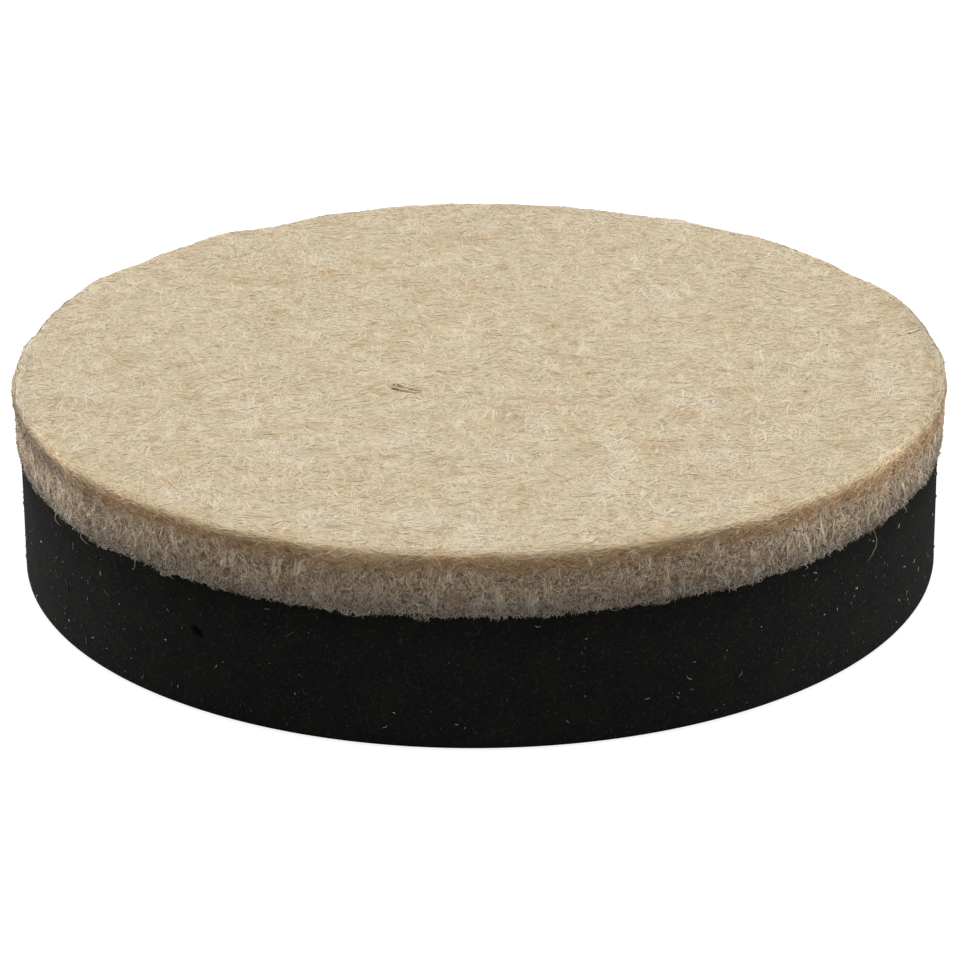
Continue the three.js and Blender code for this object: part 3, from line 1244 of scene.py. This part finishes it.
class PAD_OT_stage(bpy.types.Operator):
    """Sets the pale floor, the soft lights, the white surroundings and the camera"""

    bl_idname = "pad.stage"
    bl_label = "Stage"

    def add_light(self, name, place, size, watts):
        deselect()
        bpy.ops.object.light_add(type="AREA", location=place)
        light = bpy.context.object
        light.name = name
        light.data.shape = "RECTANGLE"
        light.data.size, light.data.size_y = size
        light.data.energy = watts
        light.rotation_euler = (-Vector(place)).to_track_quat("-Z", "Y").to_euler()

    def add_floor(self):
        deselect()
        bpy.ops.mesh.primitive_plane_add(size=FLOOR_SIZE, location=(0, 0, -FLOOR_DEPTH))
        floor = bpy.context.object
        floor.name = "floor"
        finish = Finish("pale floor", roughness=1.0, specular=0.0)
        finish.paint((FLOOR_SHADE, FLOOR_SHADE, FLOOR_SHADE))
        finish.fill(finish.shader.inputs["Emission Color"], (1, 1, 1))
        finish.fill(finish.shader.inputs["Emission Strength"], finish.seen() * FLOOR_GLOW)
        floor.data.materials.append(finish.material)

    def add_surroundings(self, level):
        world = bpy.data.worlds.new("surroundings")
        bpy.context.scene.world = world
        world.use_nodes = True
        nodes = Nodes(world.node_tree)
        background = world.node_tree.nodes["Background"]
        nodes.fill(background.inputs["Color"], (1, 1, 1))
        nodes.fill(background.inputs["Strength"], level + nodes.seen() * (1 - level))

    def add_camera(self):
        deselect()
        bpy.ops.object.camera_add(location=CAMERA_PLACE)
        camera = bpy.context.object
        camera.name = "camera"
        look = (CAMERA_AIM - CAMERA_PLACE).to_track_quat("-Z", "Y").to_matrix().to_4x4()
        camera.matrix_world = Matrix.Translation(CAMERA_PLACE) @ look @ Matrix.Rotation(CAMERA_ROLL, 4, "Z")
        camera.data.lens = CAMERA_LENS
        camera.data.sensor_width = CAMERA_SENSOR
        camera.data.clip_start = CAMERA_NEAR
        bpy.context.scene.camera = camera

    def execute(self, context):
        stage = context.scene.pad_stage
        self.add_floor()
        for name, place, size in LIGHTS:
            self.add_light(name, place, size, getattr(stage, name))
        self.add_surroundings(stage.around)
        self.add_camera()
        context.scene.view_settings.view_transform = "Standard"
        return {"FINISHED"}


STEPS = (
    PAD_OT_felt_body,
    PAD_OT_top_fibres,
    PAD_OT_wall_fibres,
    PAD_OT_rim_fibres,
    PAD_OT_fringe_fibres,
    PAD_OT_stray_fibres,
    PAD_OT_dark_tangle,
    PAD_OT_rubber_disc,
    PAD_OT_lint,
    PAD_OT_stage,
)


class PAD_PT_sidebar(bpy.types.Panel):
    bl_idname = "PAD_PT_sidebar"
    bl_label = "Furniture Pad"
    bl_space_type = "VIEW_3D"
    bl_region_type = "UI"
    bl_category = "Pad"

    def draw(self, context):
        for step in STEPS:
            self.layout.operator(step.bl_idname)
        for name, kind in SETTINGS.items():
            box = self.layout.box()
            for setting in kind.__annotations__:
                box.prop(getattr(context.scene, name), setting)


def register():
    for kind in (*SETTINGS.values(), *STEPS, PAD_PT_sidebar):
        bpy.utils.register_class(kind)
    for name, kind in SETTINGS.items():
        setattr(bpy.types.Scene, name, PointerProperty(type=kind))


def unregister():
    for name in SETTINGS:
        delattr(bpy.types.Scene, name)
    for kind in (PAD_PT_sidebar, *reversed(STEPS), *SETTINGS.values()):
        bpy.utils.unregister_class(kind)


def main():
    register()
    for step in STEPS:
        family, name = step.bl_idname.split(".")
        getattr(getattr(bpy.ops, family), name)()


if __name__ == "__main__":
    main()
